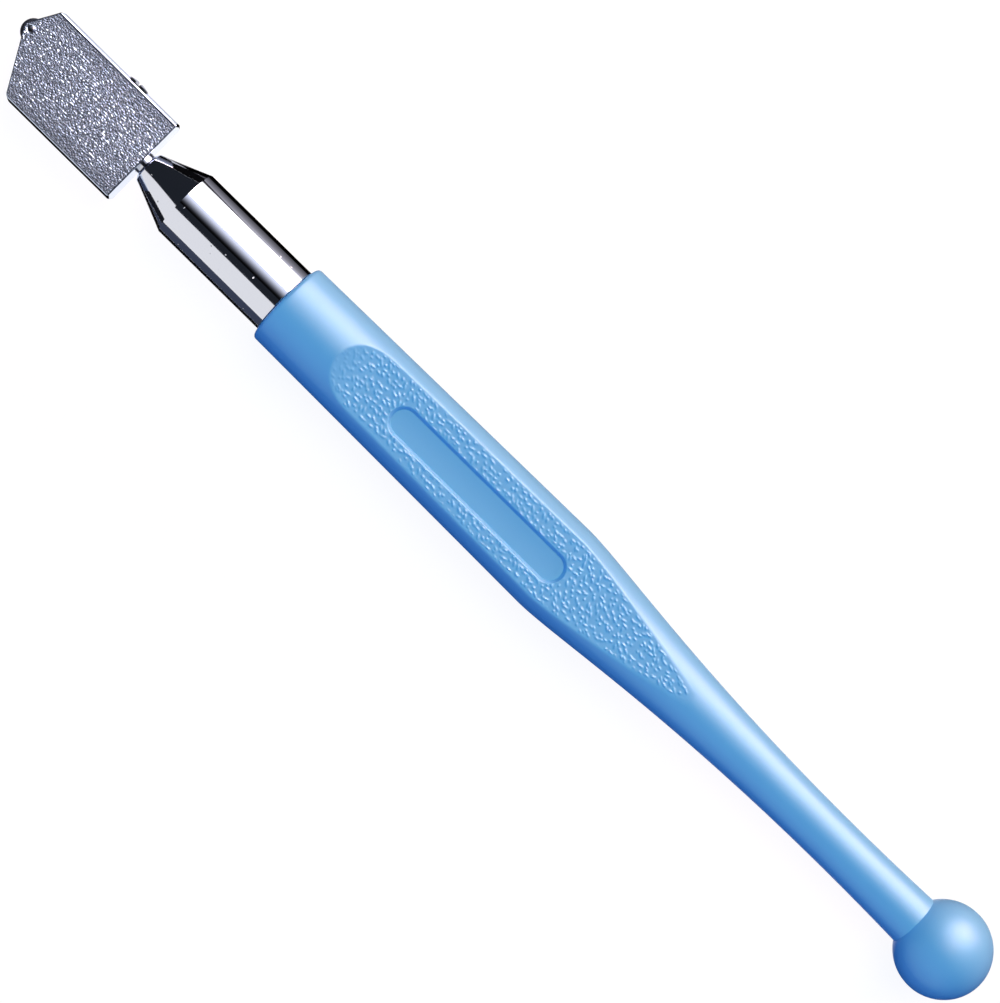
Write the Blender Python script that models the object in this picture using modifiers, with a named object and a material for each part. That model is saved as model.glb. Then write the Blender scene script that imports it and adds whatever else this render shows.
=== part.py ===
"""Glass cutter with a swivelling head, modelled as its seven separate pieces.

Metres, +Z up. The tool lies along X on a surface at Z = 0, with its head at +X and its front flat
facing +Z. The origin is under the middle of the tool's length.
"""

import math

import bmesh
import bpy

MM = 0.001

# Handle: a plastic moulding, measured backwards from its front rim
RIM_DIAMETER = 12.2 * MM
RIM_ROUND = 0.6 * MM
BELLY_DIAMETER = 13.1 * MM
BELLY_STATION = 48.5 * MM
STEM_DIAMETER = 6.86 * MM
STEM_STATION = 100.0 * MM
STEM_FLARE_DIAMETER = 7.3 * MM
BALL_DIAMETER = 12.96 * MM
HANDLE_LENGTH = 125.45 * MM
BELLY_CURVE_PULL = 6.4 * MM
STEM_CURVE_PULL = 29.0 * MM

# Grip flats, one in front and one behind, and the smooth recess in the front one
FLAT_HEIGHT = 4.4 * MM
FLAT_START = 15.6 * MM
FLAT_RUNOUT_RADIUS = 9.6 * MM
RECESS_START = 19.75 * MM
RECESS_LENGTH = 30.6 * MM
RECESS_WIDTH = 4.4 * MM
RECESS_DEPTH = 0.6 * MM
RECESS_SIDE_SHIFT = 0.38 * MM

# Ferrule: a turned piece, measured forwards from the handle's rim
FERRULE_DIAMETER = 10.0 * MM
FERRULE_CYLINDER_LENGTH = 18.1 * MM
CONE_LENGTH = 6.55 * MM
NOSE_DIAMETER = 4.75 * MM
NOSE_CHAMFER_LENGTH = 0.4 * MM
NOSE_LIP = 0.25 * MM
FERRULE_SEAT_DEPTH = 6.0 * MM
SHANK_DIAMETER = 6.0 * MM
SHANK_LENGTH = 18.0 * MM
SHANK_CHAMFER = 0.5 * MM

# Swivel pin: the neck between nose and head
PIN_DIAMETER = 3.1 * MM
PIN_IN_NOSE = 10.0 * MM
PIN_IN_HEAD = 11.0 * MM
PIN_CHAMFER = 0.3 * MM
NECK_GAP = 0.55 * MM

# Head: a flat casting with an off-centre point, measured forwards from its base
HEAD_LENGTH = 23.2 * MM
HEAD_WIDTH = 13.3 * MM
HEAD_THICKNESS = 4.5 * MM
POINT_OFFSET = 2.2 * MM
POINT_SLOPE = math.radians(28.5)
POINT_ROUND = 0.7 * MM
SHOULDER_ROUND = 0.8 * MM
EDGE_BREAK = 0.25 * MM
EDGE_BREAK_SEGMENTS = 2
EDGE_BREAK_FROM_ANGLE = math.radians(45.0)

# Cutting wheel and its axle
WHEEL_DIAMETER = 3.5 * MM
WHEEL_THICKNESS = 0.8 * MM
WHEEL_EDGE_ANGLE = math.radians(140.0)
WHEEL_OFFSET = 2.05 * MM
WHEEL_SETBACK = 1.13 * MM
AXLE_DIAMETER = 0.8 * MM
SLOT_CUTTER_RADIUS = 5.0 * MM

# Retaining screw in the head's long side
SCREW_STATION = 7.5 * MM
SCREW_HEAD_DIAMETER = 3.1 * MM
SCREW_HEAD_PROUD = 0.38 * MM
SCREW_HEAD_RIM = 0.12 * MM
SCREW_HEAD_SUNK = 0.6 * MM
SCREW_SHANK_DIAMETER = 1.7 * MM
SCREW_TIP_CHAMFER = 0.15 * MM
SCREW_SLOT_WIDTH = 0.65 * MM
SCREW_SLOT_DEPTH = 0.45 * MM
SCREW_REACH = 1.2 * MM
SWIVEL_LIMIT = math.radians(15.0)

# Clearances between pieces
PRESS_GAP = 0.05 * MM
RUNNING_GAP = 0.04 * MM
SEAT_GAP = 0.3 * MM
WHEEL_SIDE_GAP = 0.08 * MM
WHEEL_ROOT_GAP = 0.35 * MM
SCREW_SEAT_GAP = 0.1 * MM
STOP_GAP = 0.05 * MM
CUT_MARGIN = 1.0 * MM

# How finely round forms are divided
TURN_STEPS = 48
HANDLE_TURN_STEPS = 32
SMALL_TURN_STEPS = 32
ARC_STEPS = 8
TAPER_STEPS = 14
BALL_STEPS = 14
MERGE_DISTANCE = 0.0001 * MM

# Places along the tool that follow from the sizes above
FERRULE_REACH = FERRULE_CYLINDER_LENGTH + CONE_LENGTH + NOSE_CHAMFER_LENGTH
HEAD_BASE = FERRULE_REACH + NECK_GAP
WHEEL_STATION = HEAD_LENGTH - WHEEL_SETBACK
TOOL_REACH = HEAD_BASE + WHEEL_STATION + WHEEL_DIAMETER / 2
RIM_X = (HANDLE_LENGTH - TOOL_REACH) / 2
AXIS_Z = BALL_DIAMETER / 2


def new_collection(name):
    collection = bpy.data.collections.new(name)
    bpy.context.scene.collection.children.link(collection)
    return collection


def new_material(name, colour, roughness, metallic):
    material = bpy.data.materials.new(name)
    material.use_nodes = True
    shader = material.node_tree.nodes["Principled BSDF"]
    shader.inputs["Base Color"].default_value = (*colour, 1.0)
    shader.inputs["Roughness"].default_value = roughness
    shader.inputs["Metallic"].default_value = metallic
    return material


def new_axis(name, collection, place, turn=(0.0, 0.0, 0.0), parent=None):
    """An empty that carries pieces; place is given in its parent's space."""
    axis = bpy.data.objects.new(name, None)
    axis.location = place
    axis.rotation_euler = turn
    axis.parent = parent
    axis.empty_display_size = BALL_DIAMETER
    collection.objects.link(axis)
    return axis


def new_piece(name, mesh, collection, parent, material=None):
    piece = bpy.data.objects.new(name, mesh)
    piece.parent = parent
    if material:
        mesh.materials.append(material)
    collection.objects.link(piece)
    return piece


def new_cutter(name, mesh, collection, parent):
    cutter = new_piece(name, mesh, collection, parent)
    cutter.hide_render = True
    cutter.display_type = 'WIRE'
    return cutter


def cut(piece, cutter):
    boolean = piece.modifiers.new("cut_" + cutter.name, 'BOOLEAN')
    boolean.operation = 'DIFFERENCE'
    boolean.solver = 'EXACT'
    boolean.object = cutter


def turn(piece, steps):
    """Turn a profile round the piece's own Z axis."""
    screw = piece.modifiers.new("turn", 'SCREW')
    screw.axis = 'Z'
    screw.angle = 2 * math.pi
    screw.steps = steps
    screw.render_steps = steps
    screw.use_merge_vertices = True
    screw.merge_threshold = MERGE_DISTANCE
    screw.use_smooth_shade = True


def profile_mesh(name, points, closed=False):
    """A profile of (radius, height) points, which runs down the outer side."""
    edges = [(i, i + 1) for i in range(len(points) - 1)]
    if closed:
        edges.append((len(points) - 1, 0))
    mesh = bpy.data.meshes.new(name)
    mesh.from_pydata([(radius, 0.0, height) for radius, height in points], edges, [])
    return mesh


def plate_mesh(name, outline, thickness):
    """A flat outline in XY, thickened equally to both sides of it."""
    curve = bpy.data.curves.new(name, 'CURVE')
    curve.dimensions = '2D'
    curve.fill_mode = 'BOTH'
    curve.extrude = thickness / 2
    spline = curve.splines.new('POLY')
    spline.points.add(len(outline) - 1)
    for point, (x, y) in zip(spline.points, outline):
        point.co = (x, y, 0.0, 1.0)
    spline.use_cyclic_u = True
    source = bpy.data.objects.new(name, curve)
    bpy.context.scene.collection.objects.link(source)
    evaluated = source.evaluated_get(bpy.context.evaluated_depsgraph_get())
    mesh = bpy.data.meshes.new_from_object(evaluated)
    mesh.name = name
    bpy.data.objects.remove(source)
    bpy.data.curves.remove(curve)
    shape = bmesh.new()
    shape.from_mesh(mesh)
    bmesh.ops.remove_doubles(shape, verts=shape.verts, dist=MERGE_DISTANCE)
    bmesh.ops.recalc_face_normals(shape, faces=shape.faces)
    shape.to_mesh(mesh)
    shape.free()
    return mesh


def cylinder_mesh(name, radius, low, high, steps):
    """A cylinder on Z between two heights."""
    mesh = bpy.data.meshes.new(name)
    shape = bmesh.new()
    bmesh.ops.create_cone(shape, cap_ends=True, segments=steps, radius1=radius, radius2=radius,
                          depth=high - low)
    bmesh.ops.translate(shape, verts=shape.verts, vec=(0.0, 0.0, (low + high) / 2))
    shape.to_mesh(mesh)
    shape.free()
    return mesh


def box_mesh(name, low, high):
    """A box between two corners."""
    mesh = bpy.data.meshes.new(name)
    shape = bmesh.new()
    bmesh.ops.create_cube(shape, size=1.0)
    bmesh.ops.scale(shape, verts=shape.verts, vec=[b - a for a, b in zip(low, high)])
    bmesh.ops.translate(shape, verts=shape.verts, vec=[(a + b) / 2 for a, b in zip(low, high)])
    shape.to_mesh(mesh)
    shape.free()
    return mesh


def arc(centre, radius, start, end, steps):
    """Points on an arc, both ends included; angles from the first axis towards the second."""
    angles = [start + (end - start) * i / steps for i in range(steps + 1)]
    return [(centre[0] + radius * math.cos(a), centre[1] + radius * math.sin(a)) for a in angles]


def rounded_corner(before, corner, after, radius, steps):
    """The arc that rounds one corner of an outline."""
    into = math.atan2(before[1] - corner[1], before[0] - corner[0])
    out = math.atan2(after[1] - corner[1], after[0] - corner[0])
    opening = (out - into + math.pi) % (2 * math.pi) - math.pi
    middle = into + opening / 2
    distance = radius / math.sin(abs(opening) / 2)
    centre = (corner[0] + distance * math.cos(middle), corner[1] + distance * math.sin(middle))
    side = math.copysign(math.pi / 2, opening)
    return arc(centre, radius, into - side, into - side - (math.copysign(math.pi, opening) - opening), steps)


def taper_points():
    """The handle's outline from belly to stem: one S-curve that is level at both ends."""
    start = (BELLY_DIAMETER / 2, -BELLY_STATION)
    end = (STEM_DIAMETER / 2, -STEM_STATION)
    pulls = (start, (start[0], start[1] - BELLY_CURVE_PULL), (end[0], end[1] + STEM_CURVE_PULL), end)
    points = []
    for i in range(TAPER_STEPS + 1):
        t = i / TAPER_STEPS
        weights = ((1 - t) ** 3, 3 * t * (1 - t) ** 2, 3 * t ** 2 * (1 - t), t ** 3)
        points.append(tuple(sum(w * p[axis] for w, p in zip(weights, pulls)) for axis in (0, 1)))
    return points


def make_handle(collection, cutters, tool_axis, material):
    rim = RIM_DIAMETER / 2
    ball = BALL_DIAMETER / 2
    ball_centre = (0.0, ball - HANDLE_LENGTH)
    ball_start = math.acos(STEM_FLARE_DIAMETER / 2 / ball)
    seat = FERRULE_DIAMETER / 2 + PRESS_GAP
    socket = SHANK_DIAMETER / 2 + PRESS_GAP
    seat_floor = -FERRULE_SEAT_DEPTH - SEAT_GAP
    socket_floor = seat_floor - SHANK_LENGTH
    profile = [(0.0, socket_floor), (socket, socket_floor), (socket, seat_floor)]
    profile += [(seat, seat_floor), (seat, 0.0)]
    profile += arc((rim - RIM_ROUND, -RIM_ROUND), RIM_ROUND, math.pi / 2, 0.0, ARC_STEPS // 2)
    profile += taper_points()
    profile += arc(ball_centre, ball, ball_start, -math.pi / 2, BALL_STEPS)[:-1]
    profile.append((0.0, -HANDLE_LENGTH))
    handle = new_piece("handle", profile_mesh("handle", profile), collection, tool_axis, material)
    # Half a step of turn puts a facet underneath, not an edge, so that the tool lies still
    handle.rotation_euler = (0.0, 0.0, math.pi / HANDLE_TURN_STEPS)
    turn(handle, HANDLE_TURN_STEPS)

    clear = BELLY_DIAMETER / 2 + CUT_MARGIN
    runout = math.acos(1 - (clear - FLAT_HEIGHT) / FLAT_RUNOUT_RADIUS)
    flat = [(-STEM_STATION, clear), (-STEM_STATION, FLAT_HEIGHT)]
    flat += arc((-FLAT_START, FLAT_HEIGHT + FLAT_RUNOUT_RADIUS), FLAT_RUNOUT_RADIUS,
                -math.pi / 2, runout - math.pi / 2, ARC_STEPS)
    flat_mesh = plate_mesh("grip_flat", flat, 2 * clear)
    lengthwise = new_axis("flats_axis", cutters, (RIM_X, 0.0, AXIS_Z))
    for name, tilt in (("front_flat", math.pi / 2), ("back_flat", -math.pi / 2)):
        cutter = new_cutter(name, flat_mesh, cutters, lengthwise)
        cutter.rotation_euler = (tilt, 0.0, 0.0)
        cut(handle, cutter)

    end_radius = RECESS_WIDTH / 2
    front = (-RECESS_START - end_radius, RECESS_SIDE_SHIFT)
    back = (-RECESS_START - RECESS_LENGTH + end_radius, RECESS_SIDE_SHIFT)
    stadium = arc(front, end_radius, -math.pi / 2, math.pi / 2, 2 * ARC_STEPS)
    stadium += arc(back, end_radius, math.pi / 2, 3 * math.pi / 2, 2 * ARC_STEPS)
    recess_mesh = plate_mesh("smooth_recess", stadium, 2 * RECESS_DEPTH)
    recess = new_cutter("smooth_recess", recess_mesh, cutters, lengthwise)
    recess.location = (0.0, 0.0, FLAT_HEIGHT)
    cut(handle, recess)


def make_ferrule(collection, tool_axis, material):
    body = FERRULE_DIAMETER / 2
    shank = SHANK_DIAMETER / 2
    bore = PIN_DIAMETER / 2 + PRESS_GAP
    bore_floor = FERRULE_REACH - PIN_IN_NOSE - SEAT_GAP
    cone_end = FERRULE_CYLINDER_LENGTH + CONE_LENGTH
    shank_end = -FERRULE_SEAT_DEPTH - SHANK_LENGTH
    profile = [
        (0.0, bore_floor),
        (bore, bore_floor),
        (bore, FERRULE_REACH),
        (bore + NOSE_LIP, FERRULE_REACH),
        (NOSE_DIAMETER / 2, cone_end),
        (body, FERRULE_CYLINDER_LENGTH),
        (body, -FERRULE_SEAT_DEPTH),
        (shank, -FERRULE_SEAT_DEPTH),
        (shank, shank_end + SHANK_CHAMFER),
        (shank - SHANK_CHAMFER, shank_end),
        (0.0, shank_end),
    ]
    ferrule = new_piece("ferrule", profile_mesh("ferrule", profile), collection, tool_axis, material)
    turn(ferrule, TURN_STEPS)


def stop_flat_height():
    """How far the pin's flat lies from the axis, so that the screw's tip stops at the swivel limit."""
    tip = SCREW_SHANK_DIAMETER / 2 - SCREW_TIP_CHAMFER
    corner = math.hypot(SCREW_REACH, tip)
    return corner * math.cos(math.atan2(tip, SCREW_REACH) + SWIVEL_LIMIT) - STOP_GAP


def make_swivel_pin(collection, cutters, tool_axis, material):
    radius = PIN_DIAMETER / 2
    low = FERRULE_REACH - PIN_IN_NOSE
    high = HEAD_BASE + PIN_IN_HEAD
    profile = [
        (0.0, high),
        (radius - PIN_CHAMFER, high),
        (radius, high - PIN_CHAMFER),
        (radius, low + PIN_CHAMFER),
        (radius - PIN_CHAMFER, low),
        (0.0, low),
    ]
    pin = new_piece("swivel_pin", profile_mesh("swivel_pin", profile), collection, tool_axis, material)
    turn(pin, SMALL_TURN_STEPS)

    half_length = SCREW_SHANK_DIAMETER / 2 + SEAT_GAP
    station = HEAD_BASE + SCREW_STATION
    flat = box_mesh("pin_flat", (-PIN_DIAMETER, -PIN_DIAMETER, station - half_length),
                    (PIN_DIAMETER, -stop_flat_height(), station + half_length))
    cut(pin, new_cutter("pin_flat", flat, cutters, tool_axis))


def head_outline():
    """The head's outline, from the screw side of its base round to the plain side."""
    half = HEAD_WIDTH / 2
    slope = math.tan(POINT_SLOPE)
    base = [(0.0, -half), (0.0, half)]
    shoulder = (HEAD_LENGTH - (half + POINT_OFFSET) * slope, half)
    point = (HEAD_LENGTH, -POINT_OFFSET)
    screw_shoulder = (HEAD_LENGTH - (half - POINT_OFFSET) * slope, -half)
    outline = list(base)
    outline += rounded_corner(base[1], shoulder, point, SHOULDER_ROUND, ARC_STEPS // 2)
    outline += rounded_corner(shoulder, point, screw_shoulder, POINT_ROUND, ARC_STEPS)
    outline.append(screw_shoulder)
    return outline


def make_head(collection, cutters, swivel_axis, material):
    mesh = plate_mesh("head_body", head_outline(), HEAD_THICKNESS)
    head = new_piece("head_body", mesh, collection, swivel_axis, material)
    bevel = head.modifiers.new("edge_break", 'BEVEL')
    bevel.width = EDGE_BREAK
    bevel.segments = EDGE_BREAK_SEGMENTS
    bevel.limit_method = 'ANGLE'
    bevel.angle_limit = EDGE_BREAK_FROM_ANGLE

    bore = cylinder_mesh("pin_bore", PIN_DIAMETER / 2 + RUNNING_GAP, -CUT_MARGIN, PIN_IN_HEAD + SEAT_GAP,
                         SMALL_TURN_STEPS)
    bore_cutter = new_cutter("pin_bore", bore, cutters, swivel_axis)
    bore_cutter.rotation_euler = (0.0, math.pi / 2, 0.0)
    cut(head, bore_cutter)

    side = HEAD_WIDTH / 2
    thread = cylinder_mesh("screw_hole", SCREW_SHANK_DIAMETER / 2 + PRESS_GAP, 0.0, side, SMALL_TURN_STEPS)
    seat = cylinder_mesh("screw_seat", SCREW_HEAD_DIAMETER / 2 + PRESS_GAP,
                         side - SCREW_HEAD_SUNK - SCREW_SEAT_GAP, side + CUT_MARGIN, SMALL_TURN_STEPS)
    for hole_mesh in (thread, seat):
        cutter = new_cutter(hole_mesh.name, hole_mesh, cutters, swivel_axis)
        cutter.location = (SCREW_STATION, 0.0, 0.0)
        cutter.rotation_euler = (math.pi / 2, 0.0, 0.0)
        cut(head, cutter)

    half_slot = WHEEL_THICKNESS / 2 + WHEEL_SIDE_GAP
    slot = cylinder_mesh("wheel_slot", SLOT_CUTTER_RADIUS, -half_slot, half_slot, TURN_STEPS)
    slot_cutter = new_cutter("wheel_slot", slot, cutters, swivel_axis)
    slot_floor = WHEEL_STATION - WHEEL_DIAMETER / 2 - WHEEL_ROOT_GAP
    slot_cutter.location = (slot_floor + SLOT_CUTTER_RADIUS, -WHEEL_OFFSET, 0.0)
    cut(head, slot_cutter)

    hole = cylinder_mesh("axle_hole", AXLE_DIAMETER / 2 + PRESS_GAP / 2, -HEAD_THICKNESS, HEAD_THICKNESS,
                         SMALL_TURN_STEPS)
    hole_cutter = new_cutter("axle_hole", hole, cutters, swivel_axis)
    hole_cutter.location = (WHEEL_STATION, -WHEEL_OFFSET, 0.0)
    cut(head, hole_cutter)


def make_wheel(collection, wheel_axis, material):
    radius = WHEEL_DIAMETER / 2
    half = WHEEL_THICKNESS / 2
    bore = AXLE_DIAMETER / 2 + RUNNING_GAP
    land = radius - half / math.tan(WHEEL_EDGE_ANGLE / 2)
    profile = [(bore, half), (land, half), (radius, 0.0), (land, -half), (bore, -half)]
    wheel = new_piece("cutting_wheel", profile_mesh("cutting_wheel", profile, True), collection, wheel_axis,
                      material)
    turn(wheel, SMALL_TURN_STEPS)


def make_axle(collection, wheel_axis, material):
    half = HEAD_THICKNESS / 2
    mesh = cylinder_mesh("wheel_axle", AXLE_DIAMETER / 2, -half, half, SMALL_TURN_STEPS)
    new_piece("wheel_axle", mesh, collection, wheel_axis, material)


def make_screw(collection, cutters, swivel_axis, material):
    """The screw is turned round its own Z, which points out of the head's side."""
    side = HEAD_WIDTH / 2
    shank = SCREW_SHANK_DIAMETER / 2
    head = SCREW_HEAD_DIAMETER / 2
    top = side + SCREW_HEAD_PROUD
    rim = side + SCREW_HEAD_RIM
    under = side - SCREW_HEAD_SUNK
    rise = top - rim
    dome = (head ** 2 + rise ** 2) / (2 * rise)
    sweep = math.asin(head / dome)
    profile = arc((0.0, top - dome), dome, math.pi / 2, math.pi / 2 - sweep, ARC_STEPS)
    profile[0] = (0.0, top)
    profile += [
        (head, under),
        (shank, under),
        (shank, SCREW_REACH + SCREW_TIP_CHAMFER),
        (shank - SCREW_TIP_CHAMFER, SCREW_REACH),
        (0.0, SCREW_REACH),
    ]
    screw = new_piece("retaining_screw", profile_mesh("retaining_screw", profile), collection, swivel_axis,
                      material)
    screw.location = (SCREW_STATION, 0.0, 0.0)
    screw.rotation_euler = (math.pi / 2, 0.0, 0.0)
    turn(screw, SMALL_TURN_STEPS)

    half_slot = SCREW_SLOT_WIDTH / 2
    slot = box_mesh("screw_slot", (-half_slot, -SCREW_HEAD_DIAMETER, top - SCREW_SLOT_DEPTH),
                    (half_slot, SCREW_HEAD_DIAMETER, top + CUT_MARGIN))
    slot_cutter = new_cutter("screw_slot", slot, cutters, screw)
    cut(screw, slot_cutter)


def main():
    for old in list(bpy.data.objects):
        bpy.data.objects.remove(old)
    parts = new_collection("glass_cutter")
    cutters = new_collection("cutters")

    blue_plastic = new_material("blue_plastic", (0.10, 0.36, 0.72), 0.35, 0.0)
    chrome = new_material("chrome_plate", (0.72, 0.73, 0.76), 0.08, 1.0)
    cast_metal = new_material("plated_casting", (0.36, 0.36, 0.45), 0.35, 1.0)
    steel = new_material("polished_steel", (0.55, 0.55, 0.58), 0.25, 1.0)
    hard_metal = new_material("hard_metal", (0.12, 0.12, 0.14), 0.30, 1.0)

    tool_axis = new_axis("tool_axis", parts, (RIM_X, 0.0, AXIS_Z), (0.0, math.pi / 2, 0.0))
    swivel_axis = new_axis("swivel_axis", parts, (RIM_X + HEAD_BASE, 0.0, AXIS_Z))
    wheel_axis = new_axis("wheel_axis", parts, (WHEEL_STATION, -WHEEL_OFFSET, 0.0), parent=swivel_axis)

    make_handle(parts, cutters, tool_axis, blue_plastic)
    make_ferrule(parts, tool_axis, chrome)
    make_swivel_pin(parts, cutters, tool_axis, steel)
    make_head(parts, cutters, swivel_axis, cast_metal)
    make_wheel(parts, wheel_axis, hard_metal)
    make_axle(parts, wheel_axis, steel)
    make_screw(parts, cutters, swivel_axis, steel)


main()
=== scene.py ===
# %% [markdown]
# # A hand glass cutter
# The tool lies on a white table: a blue moulded handle with a ball on its tail, a chrome ferrule with a
# conical nose, and a cast head that carries a tiny hard-metal wheel. The construction is already done, so
# this lesson only makes the surfaces. It loads the finished solids as a frame, builds a finer mesh for each
# piece in the same place, and gives each mesh the finish that the real piece has.

# %% Load the frame
import math
from functools import lru_cache

import bmesh
import bpy
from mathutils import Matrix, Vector, noise


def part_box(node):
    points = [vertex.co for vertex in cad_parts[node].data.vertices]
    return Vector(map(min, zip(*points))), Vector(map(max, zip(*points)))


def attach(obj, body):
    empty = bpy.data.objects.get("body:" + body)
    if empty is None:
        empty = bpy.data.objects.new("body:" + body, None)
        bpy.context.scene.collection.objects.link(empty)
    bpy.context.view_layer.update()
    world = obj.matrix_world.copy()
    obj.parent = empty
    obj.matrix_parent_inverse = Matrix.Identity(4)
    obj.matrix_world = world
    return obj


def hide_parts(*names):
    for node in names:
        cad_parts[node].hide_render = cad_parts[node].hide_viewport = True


MM = 0.001
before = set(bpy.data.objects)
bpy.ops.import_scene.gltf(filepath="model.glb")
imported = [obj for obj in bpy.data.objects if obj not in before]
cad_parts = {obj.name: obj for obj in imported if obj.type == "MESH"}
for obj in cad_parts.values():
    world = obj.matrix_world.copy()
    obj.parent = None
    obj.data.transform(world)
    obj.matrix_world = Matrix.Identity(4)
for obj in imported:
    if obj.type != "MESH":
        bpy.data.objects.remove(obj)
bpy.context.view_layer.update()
print("solids:", sorted(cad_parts))

# %% [markdown]
# ## Where things are
# Every place comes from the frame: the tool's axis runs along X at the height of the ferrule's middle, the
# handle starts at its rim and runs towards -X, and the head starts at its base and runs towards +X. Names
# for these few places keep the rest of the script readable.

# %% Places taken from the frame
handle_low, handle_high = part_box("handle")
ferrule_low, ferrule_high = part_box("ferrule")
head_low, head_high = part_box("head_body")
pin_low, pin_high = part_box("swivel_pin")
wheel_low, wheel_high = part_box("cutting_wheel")
axle_low, axle_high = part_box("wheel_axle")
screw_low, screw_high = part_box("retaining_screw")

AXIS_Z = (ferrule_low.z + ferrule_high.z) / 2
RIM_X = handle_high.x
TAIL_X = handle_low.x
HEAD_BASE_X = head_low.x
ALONG = Vector((1.0, 0.0, 0.0))
UP = Vector((0.0, 0.0, 1.0))
ON_AXIS = Vector((0.0, 0.0, AXIS_Z))
print("rim at %.1f mm, head base at %.1f mm" % (RIM_X / MM, HEAD_BASE_X / MM))

# %% [markdown]
# ## The camera
# The photograph was taken from straight above, from about forty centimetres, with the tool lying across the
# picture. A long lens at that distance shows the slight spread of a near camera: the rim of the handle bulges
# and the base of the head shows. The camera's up direction is turned in the table's plane so that the tool
# runs from the upper left to the lower right.

# %% Camera
VIEW_DISTANCE = 400.0 * MM
VIEW_LENS = 111.3
VIEW_BACK_FROM_RIM = 37.73 * MM
VIEW_SIDE = -1.08 * MM
TOOL_ANGLE = math.radians(135.44)

camera_data = bpy.data.cameras.new("overhead_camera")
camera_data.lens = VIEW_LENS
camera_data.clip_start = 10.0 * MM
camera = bpy.data.objects.new("overhead_camera", camera_data)
camera.location = (RIM_X - VIEW_BACK_FROM_RIM, VIEW_SIDE, AXIS_Z + VIEW_DISTANCE)
camera.rotation_euler = (0.0, 0.0, -TOOL_ANGLE)
bpy.context.scene.collection.objects.link(camera)
bpy.context.scene.camera = camera

# %% [markdown]
# ## Small helpers
# Colours are written as the sRGB hex values that a colour picker shows, and shaders want linear light, so one
# function converts them. Another adds a shader node with its settings and links in one call. A third turns a
# finished bmesh into an object that rides on its body and stands for its solid.

# %% Helpers
MERGE = 0.0005 * MM


def linear(hex_colour):
    """An sRGB hex colour as linear red, green, blue and alpha."""
    levels = [int(hex_colour[i:i + 2], 16) / 255 for i in (1, 3, 5)]
    return tuple(v / 12.92 if v <= 0.04045 else ((v + 0.055) / 1.055) ** 2.4 for v in levels) + (1.0,)


def add_node(tree, kind, inputs=None, **settings):
    """Add a node; an input is a value, or the output socket that feeds it."""
    node = tree.nodes.new(kind)
    for name, value in settings.items():
        setattr(node, name, value)
    for name, value in (inputs or {}).items():
        if isinstance(value, bpy.types.NodeSocket):
            tree.links.new(value, node.inputs[name])
        else:
            node.inputs[name].default_value = value
    return node


def new_finish(name):
    """An empty material and its node tree."""
    finish = bpy.data.materials.new(name)
    finish.use_nodes = True
    finish.node_tree.nodes.clear()
    return finish, finish.node_tree


def to_object(shape, name):
    """Make an object of a bmesh, and free the bmesh."""
    mesh = bpy.data.meshes.new(name)
    shape.to_mesh(mesh)
    shape.free()
    made = bpy.data.objects.new(name, mesh)
    bpy.context.scene.collection.objects.link(made)
    return made


def dress(piece, node, body, finish, sharp_from):
    """Shade a finished piece, give it its finish and let it stand for its solid."""
    piece.data.shade_smooth()
    piece.data.set_sharp_from_angle(angle=sharp_from)
    piece.data.materials.clear()
    piece.data.materials.append(finish)
    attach(piece, body)
    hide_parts(node)
    print(piece.name, "has", len(piece.data.polygons), "faces")


# %% [markdown]
# ## Turned shapes and rounded corners
# Most of the tool was made on a lathe or in a round mould, so a helper spins a profile round an axis. A real
# edge is never perfectly sharp, and the thin bright line along it is what makes metal look like metal, so a
# second helper replaces every corner of a profile by a small arc.

# %% Turning and rounding


def soften(points, radii, steps, closed=False):
    """Round the corners of an outline by one radius or by one each, at most half of the shorter side."""
    count = len(points)
    if isinstance(radii, float):
        radii = [radii] * count
    rounded = []
    for i, corner in enumerate(points):
        if not closed and i in (0, count - 1):
            rounded.append(Vector(corner))
            continue
        corner = Vector(corner)
        before = Vector(points[i - 1]) - corner
        after = Vector(points[(i + 1) % count]) - corner
        opening = before.angle(after)
        reach = min(radii[i] / math.tan(opening / 2), before.length / 2, after.length / 2)
        start = corner + before.normalized() * reach
        end = corner + after.normalized() * reach
        for k in range(steps + 1):
            t = k / steps
            rounded.append(start * (1 - t) ** 2 + corner * 2 * t * (1 - t) + end * t ** 2)
    return rounded


def turned(profile, centre, axis, outward, steps, closed=False):
    """Spin (along, radius) points round an axis through a centre."""
    shape = bmesh.new()
    verts = [shape.verts.new(centre + axis * along + outward * radius) for along, radius in profile]
    pairs = list(zip(verts, verts[1:]))
    if closed:
        pairs.append((verts[-1], verts[0]))
    edges = [shape.edges.new(pair) for pair in pairs]
    bmesh.ops.spin(shape, geom=verts + edges, cent=centre, axis=axis, angle=2 * math.pi, steps=steps,
                   use_merge=True)
    bmesh.ops.remove_doubles(shape, verts=shape.verts, dist=MERGE)
    bmesh.ops.recalc_face_normals(shape, faces=shape.faces)
    return shape


def cut_away(piece, cutter):
    """Cut one object out of another for good, and delete the cutter."""
    boolean = piece.modifiers.new("cut", 'BOOLEAN')
    boolean.operation = 'DIFFERENCE'
    boolean.solver = 'EXACT'
    boolean.object = cutter
    evaluated = piece.evaluated_get(bpy.context.evaluated_depsgraph_get())
    piece.data = bpy.data.meshes.new_from_object(evaluated)
    piece.modifiers.clear()
    bpy.data.objects.remove(cutter)
    shape = bmesh.new()
    shape.from_mesh(piece.data)
    bmesh.ops.dissolve_degenerate(shape, dist=MERGE, edges=shape.edges)
    shape.to_mesh(piece.data)
    shape.free()


# %% [markdown]
# ## Blue moulded plastic
# The handle is a glossy injection moulding. Its colour is almost even, with faint clouds where the plastic
# flowed, and the mould's polish leaves a very fine grain that softens reflections.

# %% Handle finish
HANDLE_BLUE = "#61B1E2"
HANDLE_BLUE_DEEP = "#5CACDF"

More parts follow.
